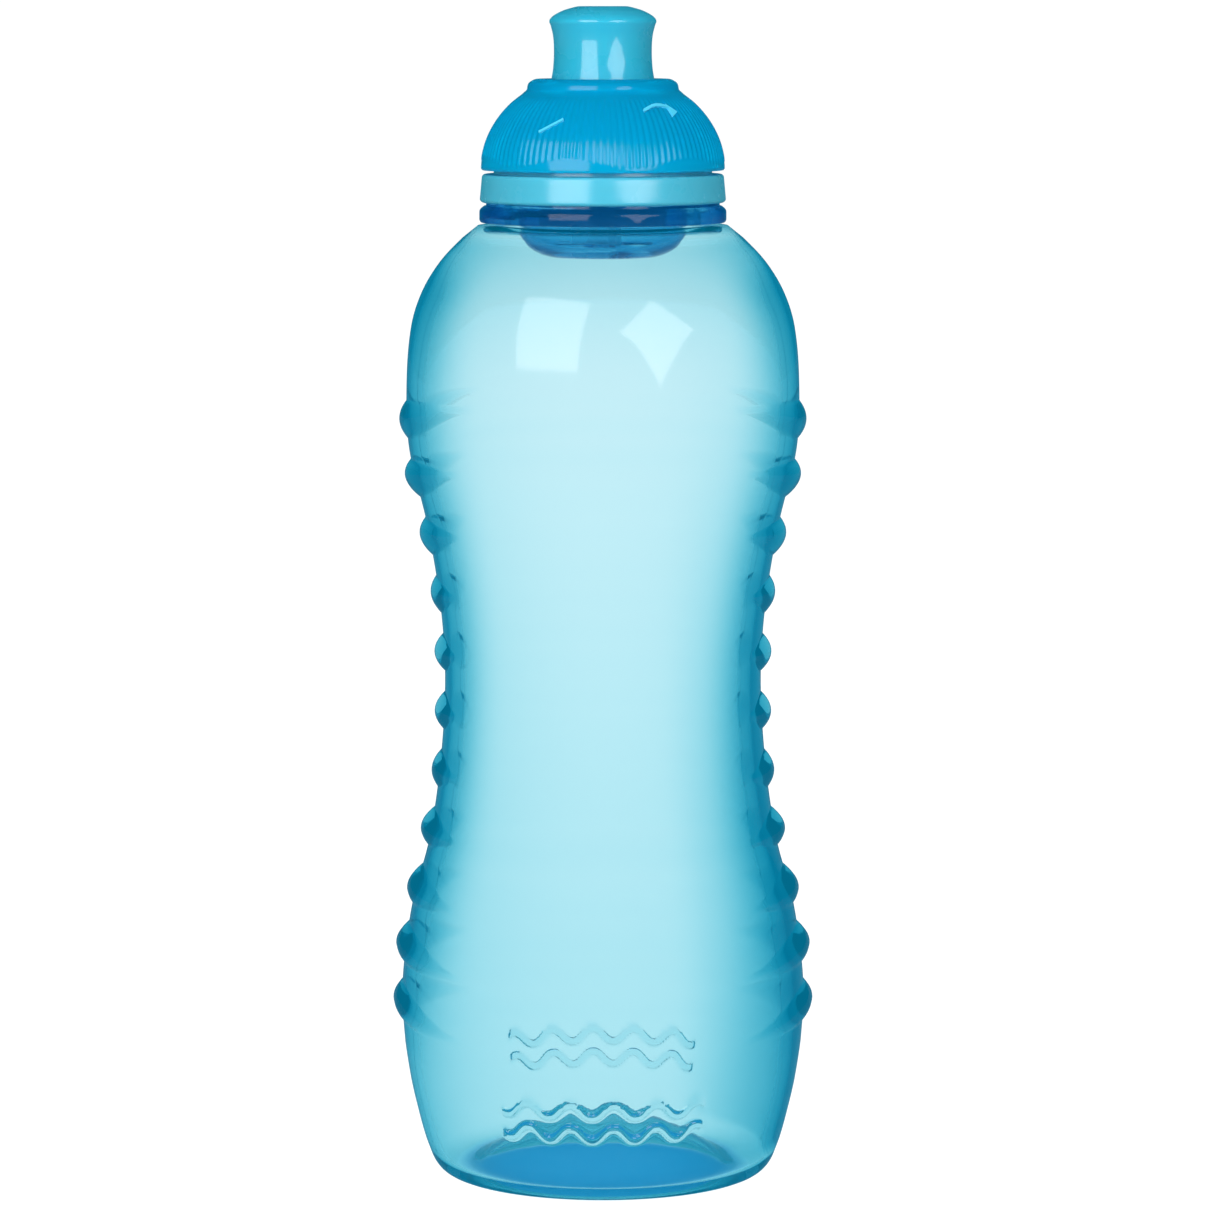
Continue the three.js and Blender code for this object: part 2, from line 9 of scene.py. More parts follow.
import bmesh
import bpy
import numpy as np
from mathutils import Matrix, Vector


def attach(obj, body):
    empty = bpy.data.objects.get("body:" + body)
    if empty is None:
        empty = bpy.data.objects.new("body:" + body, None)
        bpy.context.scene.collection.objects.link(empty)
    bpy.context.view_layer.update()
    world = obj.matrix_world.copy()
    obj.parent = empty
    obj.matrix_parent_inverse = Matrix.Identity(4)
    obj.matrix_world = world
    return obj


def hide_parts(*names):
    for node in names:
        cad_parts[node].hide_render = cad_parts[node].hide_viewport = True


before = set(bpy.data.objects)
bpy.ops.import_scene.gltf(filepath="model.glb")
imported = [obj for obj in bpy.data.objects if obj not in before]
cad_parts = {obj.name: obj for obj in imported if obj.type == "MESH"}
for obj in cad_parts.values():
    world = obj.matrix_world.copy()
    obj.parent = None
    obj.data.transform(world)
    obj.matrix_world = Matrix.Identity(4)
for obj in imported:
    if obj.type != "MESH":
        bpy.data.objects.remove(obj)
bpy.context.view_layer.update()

MM = 0.001
TURN = 2 * math.pi
FRONT = math.radians(-90)
BACK = -FRONT

# ------------------------------------------------------------------ dimensions of the bottle

BODY_OUTLINE = [  # height, radius of the plain wall between the ridges
    (3, 29.6), (6, 30.7), (10, 31.8), (16, 33.15), (25, 34.35), (34.5, 34.4), (47, 32.65),
    (57, 29.95), (70, 27.95), (85, 27.0), (98, 27.75), (112, 30.0), (125, 33.0), (136, 33.4),
    (146, 32.55), (152, 30.6), (157, 27.5), (161, 23.7), (163, 21.3),
]
PUNT = [(0, 7.2), (3.5, 7.15), (6, 6.95), (10, 6.1), (14, 4.5), (17, 2.95), (20.4, 1.15)]
FOOT_RADII = (22.6, 25.6)
HEEL_TOP = (29.6, 3.0)

TOP_WALL = 1.04  # thickness of the plain wall at THIN_Z and above
LOWER_WALL_GAIN = 0.78  # how much thicker it has become at THICK_Z
THIN_Z, THICK_Z = 143.0, 21.0
BASE_WALL = 1.9
GRIP_WALL = 1.2  # the ribbed grip panels are this much thicker than the front and back
GRIP_PANEL_BOTTOM = (14, 45)  # heights between which the grip panels' extra wall comes in
GRIP_PANEL_TOP = (150, 160)
GRIP_PANEL_EDGE = (8, 50)  # degrees from the side's middle line
UNEVEN_WALL = 1.3  # the blown wall settles this much thicker low on its +X side
UNEVEN_SIDE = (0.35, 0.9)  # cosine of the angle from +X

RIDGE_FIRST_Z = 30
RIDGE_PITCH = 10
RIDGE_HALF_WIDTH = 3.25
RIDGE_LEAST_HALF_WIDTH = 0.8
RIDGE_HEIGHTS = [1.55, 1.75, 1.65, 1.85, 1.4, 1.65, 1.7, 1.4, 1.6, 1.7, 1.25]  # lowest ridge first
RIDGE_HALF_SPANS = [46, 45, 38, 31, 26, 22, 22, 27, 36, 42, 50]  # degrees, lowest ridge first
RIDGE_EDGE = 1.12  # the wall is plain from this many half widths away from a ridge's middle
RIDGE_ROWS = np.concatenate([[-RIDGE_EDGE], np.linspace(-1, 1, 13), [RIDGE_EDGE]])
FURROW_ROWS = (0.25, 0.5, 0.75)  # rows of the plain wall, as shares of the way to the next ridge
FAN_CENTRE_Z = 82  # ridges above this sweep up towards the front, and those below sweep down
FAN_SLOPE = 0.29
FAN_LIMIT = 0.3

WAVE_CENTRE_Z = 14.6  # the raised double wave low on the front and the back
WAVE_HALF_LENGTH = 17.5
WAVE_END_FADE = 1.2
WAVE_HALF_GAP = 2.0
WAVE_SWING = 1.1
WAVE_LENGTH = 7.0
WAVE_HALF_STROKE = 0.95
WAVE_HEIGHT = 0.9
WAVE_WALL_RADIUS = 32.0
WAVE_Z_RANGE = (8, 19)
HEEL_ROWS_Z = np.concatenate([  # rows below the ridges, close together where the wave stands
    np.arange(3.9, 8.6, 0.9), np.arange(9.0, 17.6, 0.28), np.arange(18.2, 22.3, 1.0)])

PARTING_HEIGHT = 0.1
PARTING_EDGE = (0.003, 0.010)  # radians from the mould's parting plane
PARTING_Z_RANGE = (2, 162)

SHOULDER_TOP = (21.3, 163.0)
NECK_RADIUS = 16.7
NECK_BORE = 15.5
NECK_FILLET_TOP_Z = 164.0
NECK_LIP_Z = 172.6
NECK_TOP_Z = 173.0
NECK_ROW_PITCH = 0.24
SHOULDER_INSIDE_Z = (160.6, 136.5)  # the inside of the shoulder, from its top row to its bottom row
SHOULDER_THICKENING = 0.5
SHOULDER_OUTSIDE_SHIFT = 0.8

THREAD_LEAD = 4.5
THREAD_TURNS = 1.1
THREAD_FADE = 0.1  # share of a turn over which the thread rises from its wall
THREAD_FOOT_Z = 163.9
BOTTLE_THREAD = {"start_z": 165.05, "start_turn": 0.0, "root": 1.0, "crest": 0.45, "height": 1.35}
CAP_THREAD = {"start_z": 164.6, "start_turn": 0.4, "root": 0.8, "crest": 0.35, "height": 1.2}
CAP_THREAD_WALL = 18.45

COARSE_COLUMNS = np.arange(0, 360, 2.0)  # degrees
FACE_COLUMNS = np.arange(-34, 34.1, 0.8)  # degrees either side of the front and of the back
FACE_COLUMNS_END = 34.5
PARTING_COLUMNS = np.array([-0.9, -0.45, -0.2, 0.2, 0.45, 0.9])  # degrees

# ------------------------------------------------------------------ dimensions of the cap and the valve

WINDOW_COUNT = 3
WINDOW_RADII = (3.6, 8.6)
WINDOW_Z_RANGE = (156.5, 160.0)
WINDOW_RIB_HALF_ANGLE = 0.22  # radians
WINDOW_STEPS = 24

LUG_COUNT = 3
LUG_BOX = {"size": (5.2, 2.4, 2.0), "centre": (9.4, 0, 179.4), "bevel": 0.25}
LUG_SLOT_BOX = {"size": (3.4, 3.0, 8.4), "centre": (10.1, 0, 181.8), "bevel": 0.05}
FIN_COUNT = 3
FIN_BOX = {"size": (5.3, 1.1, 16.9), "centre": (2.65, 0, 167.55), "bevel": 0.2}

CAM_RADII = (10.4, 12.35)
CAM_Z_RANGE = (178.05, 180.75)
CAM_LIFT = 4.0
CAM_END_SLACK = 0.14  # radians
CAM_STEPS = 24

DOME_RIM_Z = 172.4
DOME_RIM_RADIUS = 20.8
DOME_ELLIPSE_HEIGHT = 17.13
DOME_COLLAR_Z = 185.2
DOME_WALL = 1.2
FLUTE_COUNT = 108
FLUTE_COLUMNS = 6
FLUTE_DEPTH = 0.17
FLUTE_EDGE_DEPTH = 0.10  # the plain rim below the flutes stands this far inside the full radius
FLUTE_EDGE_Z = 173.9
FLUTE_EDGE_SWING = 0.8
FLUTE_EDGE_WAVES = 6
FLUTE_EDGE_PHASE = math.radians(16)
FLUTE_EDGE_BLEND = 0.35
FLUTE_TOP = (183.6, 185.2)
FLUTE_END_Z = 185.4
MARK_HEIGHT = 0.28
MARK_EMBED = 0.25
MARK_SCALE = 0.3  # millimetres round the dome for one degree, where the marks stand

SEAL_RING_CENTRE = (8.65, 166.3)
SEAL_RING_SECTION = 0.7

# ------------------------------------------------------------------ curves


def smoothstep(x, low, high):
    t = np.clip((x - low) / (high - low), 0.0, 1.0)
    return t * t * (3 - 2 * t)


def body_radius(z):
    """Radius of the plain body wall at height z, by cubic pieces through BODY_OUTLINE."""
    heights, radii = (np.array(v, float) for v in zip(*BODY_OUTLINE))
    slopes = np.gradient(radii, heights)
    slopes[1:-1] = (radii[2:] - radii[:-2]) / (heights[2:] - heights[:-2])
    z = np.asarray(z, float)
    i = np.clip(np.searchsorted(heights, z, side="left") - 1, 0, len(heights) - 2)
    span = heights[i + 1] - heights[i]
    t = (z - heights[i]) / span
    u = 1 - t
    ends = u * u * (1 + 2 * t) * radii[i] + t * t * (3 - 2 * t) * radii[i + 1]
    return ends + span * t * u * (u * slopes[i] - t * slopes[i + 1])


def dome_radius(z, inset=0.0):
    rise = (np.asarray(z, float) - DOME_RIM_Z) / (DOME_ELLIPSE_HEIGHT - inset)
    return (DOME_RIM_RADIUS - inset) * np.sqrt(np.clip(1 - rise * rise, 0, 1))


def spline(points, steps=6):
    """Catmull-Rom curve through 2-D points, with `steps` pieces between each pair."""
    p = [np.array(q, float) for q in points]
    p = [2 * p[0] - p[1], *p, 2 * p[-1] - p[-2]]
    out = []
    for a, b, c, d in zip(p, p[1:], p[2:], p[3:]):
        for t in np.arange(steps) / steps:
            out.append(0.5 * (2 * b + (c - a) * t + (2 * a - 5 * b + 4 * c - d) * t * t
                              + (3 * b - a - 3 * c + d) * t ** 3))
    out.append(p[-2])
    return [tuple(q) for q in out]


def bezier(start, control, end, steps=6):
    """Quadratic arc, leaving out its first point."""
    a, b, c = (np.array(q, float) for q in (start, control, end))
    return [tuple((1 - t) ** 2 * a + 2 * t * (1 - t) * b + t * t * c)
            for t in np.arange(1, steps + 1) / steps]


def rounded(corners, radius=0.25, steps=4, closed=True):
    """An outline whose corners are rounded. A corner is (r, z) or (r, z, its own radius)."""
    most_of_side = 0.45  # a corner takes up no more than this share of the sides that meet there
    n = len(corners)
    out = []
    for i, corner in enumerate(corners):
        here = np.array(corner[:2], float)
        size = corner[2] if len(corner) > 2 else radius
        if not closed and i in (0, n - 1):
            out.append(tuple(here))
            continue
        before = np.array(corners[i - 1][:2], float) - here
        after = np.array(corners[(i + 1) % n][:2], float) - here
        reach = min(size, most_of_side * np.linalg.norm(before), most_of_side * np.linalg.norm(after))
        start = here + before / np.linalg.norm(before) * reach
        end = here + after / np.linalg.norm(after) * reach
        out.append(tuple(start))
        out.extend(bezier(start, here, end, steps))
    return out


def divided(outline, longest, closed=True):
    """The outline with no straight piece longer than `longest`."""
    out = []
    last = len(outline) if closed else len(outline) - 1
    for i in range(last):
        a, b = np.array(outline[i]), np.array(outline[(i + 1) % len(outline)])
        count = max(1, math.ceil(np.linalg.norm(b - a) / longest))
        out.extend(tuple(a + (b - a) * k / count) for k in range(count))
    if not closed:
        out.append(outline[-1])
    return out


def even_angles(count, offset=0.0):
    return [offset + TURN * i / count for i in range(count)]


# ------------------------------------------------------------------ meshes


def place(name, body, nodes=()):
    """Finishes a piece: it rides on its body, and stands for its CAD nodes."""
    piece = bpy.data.objects[name]
    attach(piece, body)
    if nodes:
        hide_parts(*nodes)
    return piece


def add_object(name, mesh):
    piece = bpy.data.objects.new(name, mesh)
    bpy.context.scene.collection.objects.link(piece)
    return piece


def mesh_object(name, vertices, faces, material, values=None):
    """A closed piece with its faces turned out, from vertices in millimetres. `values` holds named numbers
    for each vertex, which its material reads."""
    mesh = bpy.data.meshes.new(name)
    mesh.from_pydata([tuple(v) for v in np.asarray(vertices, float) * MM], [], faces)
    for key, numbers in (values or {}).items():
        mesh.attributes.new(key, "FLOAT", "POINT").data.foreach_set("value", numbers)
    work = bmesh.new()
    work.from_mesh(mesh)
    bmesh.ops.remove_doubles(work, verts=work.verts, dist=1e-7)
    bmesh.ops.dissolve_degenerate(work, dist=1e-8, edges=work.edges)
    bmesh.ops.recalc_face_normals(work, faces=work.faces)
    if work.calc_volume(signed=True) < 0:
        bmesh.ops.reverse_faces(work, faces=work.faces)
    work.to_mesh(mesh)
    work.free()
    mesh.shade_smooth()
    mesh.materials.append(material)
    return add_object(name, mesh)


def grid_faces(rows, columns, closed):
    """Quads between neighbouring rows of vertices. `closed` joins the last row to the first."""
    faces = []
    for r in range(rows if closed else rows - 1):
        low = r * columns
        high = ((r + 1) % rows) * columns
        for c in range(columns):
            d = (c + 1) % columns
            faces.append((low + c, low + d, high + d, high + c))
    return faces


def skin(name, rings, material, closed, values=None):
    """One surface through rings, an array (rows, columns, 3). `closed` joins the last row to the first."""
    rows, columns, _ = rings.shape
    return mesh_object(name, rings.reshape(-1, 3), grid_faces(rows, columns, closed), material, values)


def swept(name, sections):
    """A cutter through a list of sections, each a ring of points, with its two ends closed."""
    n = len(sections[0])
    faces = grid_faces(len(sections), n, closed=False)
    faces.append(tuple(range(n)))
    faces.append(tuple(reversed(range((len(sections) - 1) * n, len(sections) * n))))
    return mesh_object(name, [point for section in sections for point in section], faces, material=None)


def at_angle(r, angle, z):
    return (r * math.cos(angle), r * math.sin(angle), z)


def ring(radius, angles, heights):
    return np.stack([radius * np.cos(angles), radius * np.sin(angles), heights], axis=1)


def turned(name, outline, material, columns=128, push=None, closed=True):
    """An outline of (r, z) turned about +Z. push(r, z, angles) moves each ring's radius."""
    angles = np.arange(columns) * TURN / columns
    rings = np.empty((len(outline), columns, 3))
    for i, (r, z) in enumerate(outline):
        radius = np.full(columns, float(r))
        if push is not None:
            radius = radius + push(r, z, angles)
        rings[i] = ring(radius, angles, np.full(columns, float(z)))
    return skin(name, rings, material, closed)


def sharpen_shading(piece, degrees=35):
    """Keeps hard creases crisp where two cut faces meet."""
    mesh = piece.data
    work = bmesh.new()
    work.from_mesh(mesh)
    limit = math.radians(degrees)
    for edge in work.edges:
        edge.smooth = len(edge.link_faces) == 2 and edge.calc_face_angle(0) < limit
    work.to_mesh(mesh)
    work.free()


def bevelled_box(name, angle, size, centre, bevel):
    """A box with rounded edges, turned by `angle` about +Z after it is centred at `centre`."""
    work = bmesh.new()
    bmesh.ops.create_cube(work, size=1)
    bmesh.ops.scale(work, vec=Vector(size), verts=work.verts)
    bmesh.ops.bevel(work, geom=work.edges[:], offset=bevel, segments=2, affect="EDGES", profile=0.5)
    bmesh.ops.translate(work, vec=Vector(centre), verts=work.verts)
    cos, sin = math.cos(angle), math.sin(angle)
    for v in work.verts:
        v.co = Vector((cos * v.co.x - sin * v.co.y, sin * v.co.x + cos * v.co.y, v.co.z)) * MM
    mesh = bpy.data.meshes.new(name)
    work.to_mesh(mesh)
    work.free()
    return add_object(name, mesh)


def combine(piece, tools, operation):
    """Joins or cuts `piece` with each tool by an exact boolean, then removes the tools."""
    for tool in tools:
        cut = piece.modifiers.new("cut", "BOOLEAN")
        cut.operation = operation
        cut.solver = "EXACT"
        cut.object = tool
    bpy.context.view_layer.update()
    evaluated = piece.evaluated_get(bpy.context.evaluated_depsgraph_get())
    material = piece.data.materials[0]
    mesh = bpy.data.meshes.new_from_object(evaluated)
    piece.modifiers.clear()
    piece.data = mesh
    mesh.materials.clear()
    mesh.materials.append(material)
    for polygon in mesh.polygons:
        polygon.material_index = 0
    for tool in tools:
        bpy.data.objects.remove(tool)
    sharpen_shading(piece)
    return piece


# ------------------------------------------------------------------ materials

NOISE_SPAN = (0.3, 0.7)  # most of a noise texture lies between these values
STROKE_SPAN = (0.3, 0.7)  # heights of the raised strokes, in mm, between which their index comes in
RELIEF_IOR = 1.3
SKIN_DEPTH = 0.0002
COAT_FACING = (0.35, 0.75)  # the gloss fades out between these Layer Weight values, towards the edge
COAT_LEFT_AT_EDGE = 0.05
RIM_LIGHT_Z = (0.1735, 0.1800)
SUBSURFACE_RADIUS = (0.3, 0.9, 1.0)
SUBSURFACE_SCALE = 0.004
FLOW_MARKS = {"scale": 45, "detail": 2.0, "stretch": (1, 1, 0.35)}
HANDLING = {"scale": 160, "detail": 4.0}
SKIN_TEXTURE = {"scale": 2200, "detail": 2.0}
HANDLING_ROUGHNESS = (0.8, 1.25)

PLASTICS = {
    "bottle_plastic": dict(
        colour=(0.98, 0.995, 1.0), deep=(0.96, 0.99, 0.995), roughness=0.06, transmission=1.0, ior=1.065,
        # the glow colour in this recipe is a painted glow that the plastic gives off inside
        absorb=(0.0, 0.60, 0.69), density=250, painted_glow=(0.0, 0.14, 0.25), grain=0.004,
        coat=1.0, gloss=1.4, coat_roughness=0.09, polished_side=True),
    "cap_plastic": dict(
        colour=(0.42, 0.84, 0.95), deep=(0.40, 0.82, 0.94), roughness=0.15, transmission=1.0, ior=1.1,
        # the glow colour in this recipe is a painted glow that the plastic gives off inside
        absorb=(0.0, 0.48, 0.68), density=430, painted_glow=(0.0, 0.05, 0.18), grain=0.004,
        coat=0.4, coat_roughness=0.05),
    "post_plastic": dict(
        colour=(0.80, 0.95, 0.98), deep=(0.78, 0.94, 0.97), roughness=0.3, transmission=1.0, ior=1.1,
        absorb=(0.0, 0.50, 0.68), density=60, grain=0.01),
    "base_plastic": dict(
        colour=(0.075, 0.48, 0.65), deep=(0.065, 0.45, 0.62), roughness=0.25, subsurface=0.3, grain=0.015,
        level=0.2, coat=0.9, coat_roughness=0.2),
    "dome_plastic": dict(
        # the dome's rim colour is painted light: lighter than the dome, standing in for light coming up
        # through the band
        colour=(0.0, 0.53, 0.87), deep=(0.0, 0.49, 0.84), painted_rim_light_colour=(0.0, 0.58, 0.92), roughness=0.12,
        transmission=0.55, ior=1.35, grain=0.006, level=0.1, coat=0.14, coat_roughness=0.1),
    # the marks are a lighter blue than the dome: a painted highlight along their lines
    "mark_painted_highlight_plastic": dict(
        colour=(0.08, 0.62, 0.88), deep=(0.07, 0.60, 0.86), roughness=0.3, grain=0.01),
    "spout_plastic": dict(
        colour=(0.030, 0.44, 0.62), deep=(0.026, 0.42, 0.60), roughness=0.28, subsurface=0.35, grain=0.012,
        level=0.2, coat=0.9, coat_roughness=0.1),
    "stem_plastic": dict(
        colour=(0.72, 0.86, 0.89), deep=(0.68, 0.83, 0.87), roughness=0.35, grain=0.02),
    "seal_rubber": dict(
        colour=(0.28, 0.36, 0.39), deep=(0.24, 0.32, 0.35), roughness=0.6, grain=0.06),
}


def new_material(name):
    material = bpy.data.materials.new(name)
    material.use_nodes = True
    nodes = material.node_tree.nodes
    return material, nodes, material.node_tree.links, nodes["Principled BSDF"], nodes["Material Output"]


def noise(nodes, links, scale, detail, stretch=(1, 1, 1)):
    """Noise fixed to the object, `scale` features a metre, drawn out along an axis by `stretch`."""
    where = nodes.new("ShaderNodeTexCoord")
    mapping = nodes.new("ShaderNodeMapping")
    mapping.inputs["Scale"].default_value = stretch
    texture = nodes.new("ShaderNodeTexNoise")
    texture.inputs["Scale"].default_value = scale
    texture.inputs["Detail"].default_value = detail
    links.new(where.outputs["Object"], mapping.inputs["Vector"])
    links.new(mapping.outputs["Vector"], texture.inputs["Vector"])
    return texture.outputs["Fac"]


def between(nodes, links, value, span, low=0.0, high=1.0, smooth=False):
    """A number that moves from low to high as `value` crosses `span`."""
    mapped = nodes.new("ShaderNodeMapRange")
    if smooth:
        mapped.interpolation_type = "SMOOTHSTEP"
    mapped.inputs["From Min"].default_value = span[0]
    mapped.inputs["From Max"].default_value = span[1]
    mapped.inputs["To Min"].default_value = low
    mapped.inputs["To Max"].default_value = high
    links.new(value, mapped.inputs["Value"])
    return mapped.outputs["Result"]


def mixed_colour(nodes, links, factor, low, high):
    """Goes from low to high with `factor`. Each of the two is a colour, or another node's output."""
    mix = nodes.new("ShaderNodeMix")
    mix.data_type = "RGBA"
    for key, colour in (("A", low), ("B", high)):
        if isinstance(colour, tuple):
            mix.inputs[key].default_value = (*colour, 1)
        else:
            links.new(colour, mix.inputs[key])
    links.new(factor, mix.inputs["Factor"])
    return mix.outputs["Result"]


def painted_rim_light(nodes, links, tone, painted_rim_light_colour):
    """Painted light: the dome's colour, painted lighter towards its rim, standing in for light that comes up
    through the band.
    """
    where = nodes.new("ShaderNodeTexCoord")
    split = nodes.new("ShaderNodeSeparateXYZ")
    links.new(where.outputs["Object"], split.inputs[0])
    rise = between(nodes, links, split.outputs["Z"], RIM_LIGHT_Z, smooth=True)
    return mixed_colour(nodes, links, rise, painted_rim_light_colour, tone)


def vertex_value(nodes, name):
    attribute = nodes.new("ShaderNodeAttribute")
    attribute.attribute_name = name
    return attribute.outputs["Fac"]


def coat_weight(nodes, links, coat, polished_side):
    """Gloss that fades towards the edge of what is seen. With `polished_side`, only the outside has it."""
    facing = nodes.new("ShaderNodeLayerWeight")
    facing.inputs["Blend"].default_value = 0.5
    at_edge = COAT_LEFT_AT_EDGE * coat
    weight = between(nodes, links, facing.outputs["Facing"], COAT_FACING, coat, at_edge, smooth=True)
    if polished_side:
        gate = nodes.new("ShaderNodeMath")
        gate.operation = "MULTIPLY"
        links.new(vertex_value(nodes, "polish"), gate.inputs[0])
        links.new(weight, gate.inputs[1])
        weight = gate.outputs["Value"]
    return weight


def tint_and_painted_glow_inside(nodes, links, output, absorb, density, painted_glow):
    """Colour that deepens with thickness, plus a painted glow: the plastic itself gives off light of the glow
    colour, so where light goes a long way it settles to that colour.
    """
    volume = nodes.new("ShaderNodeVolumeAbsorption")
    volume.inputs["Color"].default_value = (*absorb, 1)
    volume.inputs["Density"].default_value = density
    # painted glow: the plastic itself gives off this light, in step with how strongly it absorbs
    glow = nodes.new("ShaderNodeEmission")
    glow.inputs["Color"].default_value = (*[h * (1 - a) for h, a in zip(painted_glow, absorb)], 1)
    glow.inputs["Strength"].default_value = density
    both = nodes.new("ShaderNodeAddShader")
    links.new(volume.outputs["Volume"], both.inputs[0])
    links.new(glow.outputs["Emission"], both.inputs[1])
    links.new(both.outputs["Shader"], output.inputs["Volume"])


def moulded_plastic(name, colour, deep, roughness, grain, painted_rim_light_colour=None, transmission=0.0, ior=1.48,
                    level=0.5, absorb=None, density=0.0, painted_glow=(0.0, 0.0, 0.0), subsurface=0.0,
                    coat=0.0, gloss=1.5, coat_roughness=0.07, polished_side=False):
    """Moulded plastic: flow marks in its colour, uneven gloss and a faint skin texture."""
    material, nodes, links, shader, output = new_material(name)
    tone = mixed_colour(nodes, links, noise(nodes, links, **FLOW_MARKS), deep, colour)
    # painted light: the dome is painted lighter towards its rim, where light comes up through the band
    if painted_rim_light_colour:
        tone = painted_rim_light(nodes, links, tone, painted_rim_light_colour)
    links.new(tone, shader.inputs["Base Color"])

    smoothest, roughest = (roughness * share for share in HANDLING_ROUGHNESS)
    handling = noise(nodes, links, **HANDLING)
    links.new(between(nodes, links, handling, NOISE_SPAN, smoothest, roughest), shader.inputs["Roughness"])
    bump = nodes.new("ShaderNodeBump")
    bump.inputs["Strength"].default_value = grain
    bump.inputs["Distance"].default_value = SKIN_DEPTH
    links.new(noise(nodes, links, **SKIN_TEXTURE), bump.inputs["Height"])
    links.new(bump.outputs["Normal"], shader.inputs["Normal"])

    shader.inputs["Transmission Weight"].default_value = transmission
    shader.inputs["IOR"].default_value = ior
    shader.inputs["Specular IOR Level"].default_value = level
    shader.inputs["Coat Roughness"].default_value = coat_roughness
    shader.inputs["Coat IOR"].default_value = gloss
    if coat:
        links.new(coat_weight(nodes, links, coat, polished_side), shader.inputs["Coat Weight"])
    if polished_side:
        raised = vertex_value(nodes, "relief")
        links.new(between(nodes, links, raised, STROKE_SPAN, ior, RELIEF_IOR), shader.inputs["IOR"])
    if subsurface:
        shader.inputs["Subsurface Weight"].default_value = subsurface
        shader.inputs["Subsurface Radius"].default_value = SUBSURFACE_RADIUS
        shader.inputs["Subsurface Scale"].default_value = SUBSURFACE_SCALE
    if absorb:
        tint_and_painted_glow_inside(nodes, links, output, absorb, density, painted_glow)
    return material


# ------------------------------------------------------------------ bottle body


def body_columns():
    """Angles round the body, closer together across the front, the back and the parting lines."""
    face, parting = np.radians(FACE_COLUMNS), np.radians(PARTING_COLUMNS)
    angles = [FRONT + face, BACK + face, parting, math.pi + parting]
    for angle in np.radians(COARSE_COLUMNS):
        off_face = min(abs(math.remainder(angle - FRONT, TURN)), abs(math.remainder(angle - BACK, TURN)))
        if off_face > math.radians(FACE_COLUMNS_END):
            angles.append([angle])
    return np.unique(np.round(np.mod(np.concatenate(angles), TURN), 6))


def degrees_off_side(angles):
    """How far each angle is from the middle of the nearer ribbed side."""
    return np.degrees(np.arccos(np.abs(np.cos(angles))))


def relief(z, angles):
    """Height of the plain double wave that is moulded low on the front and back."""
    total = np.zeros(len(angles))
    for face in (FRONT, BACK):
        x = (np.remainder(angles - face + math.pi, TURN) - math.pi) * WAVE_WALL_RADIUS
        fade = 1 - smoothstep(np.abs(x), WAVE_HALF_LENGTH - WAVE_END_FADE, WAVE_HALF_LENGTH)
        phase = TURN * x / WAVE_LENGTH
        steep = np.sqrt(1 + (WAVE_SWING * TURN / WAVE_LENGTH * np.cos(phase)) ** 2)
        for offset in (-WAVE_HALF_GAP, WAVE_HALF_GAP):
            distance = np.abs(z - WAVE_CENTRE_Z - offset - WAVE_SWING * np.sin(phase)) / steep
            total += WAVE_HEIGHT * fade * (1 - smoothstep(distance, WAVE_HALF_STROKE * 0.5, WAVE_HALF_STROKE))
    return total


def wall_thickness(z, angles):
    """Moulded wall: thicker low down, in the grip panels and low on its +X side."""
    drop = np.clip((THIN_Z - z) / (THIN_Z - THICK_Z), 0, 1)
    grip = smoothstep(z, *GRIP_PANEL_BOTTOM) * (1 - smoothstep(z, *GRIP_PANEL_TOP))
    grip = grip * (1 - smoothstep(degrees_off_side(angles), *GRIP_PANEL_EDGE))
    settled = drop * smoothstep(np.cos(angles), *UNEVEN_SIDE)
    return TOP_WALL + LOWER_WALL_GAIN * drop + GRIP_WALL * grip + UNEVEN_WALL * settled


def parting_line(angles):
    """The fine raised line left where the two halves of the mould met, on the ribbed sides."""
    off_side = np.arcsin(np.abs(np.sin(angles)))
    return PARTING_HEIGHT * (1 - smoothstep(off_side, *PARTING_EDGE))


def fan_shift(z, angles):
    """How far a ridge has swept up, on its way from the side's middle to the front or back."""
    toward_front = 1 - np.abs(np.cos(angles))
    return FAN_SLOPE * (z - FAN_CENTRE_Z) * FAN_LIMIT * np.tanh(toward_front / FAN_LIMIT)


def ridged_rows(angles):
    """Rows (radius, height, bump) through the ridges, drawn together towards each ridge's tips."""
    ridges = []
    for i, span in enumerate(RIDGE_HALF_SPANS):
        z = RIDGE_FIRST_Z + i * RIDGE_PITCH
        share = np.clip(1 - (degrees_off_side(angles) / span) ** 2, 0, 1)
        half_width = np.maximum(RIDGE_HALF_WIDTH * share, RIDGE_LEAST_HALF_WIDTH)
        ridges.append((z + fan_shift(z, angles), half_width, share * RIDGE_HEIGHTS[i]))
    rows = []
    for i, (centre, half_width, crest) in enumerate(ridges):
        for t in RIDGE_ROWS:
            height = centre + t * half_width
            rows.append((body_radius(height), height, crest * max(0.0, 1 - t * t)))
        if i + 1 < len(ridges):
            next_centre, next_half_width, _ = ridges[i + 1]
            start = centre + RIDGE_EDGE * half_width
            stop = next_centre - RIDGE_EDGE * next_half_width
            for t in FURROW_ROWS:
                height = start + (stop - start) * t
                rows.append((body_radius(height), height, np.zeros(len(angles))))
    return rows


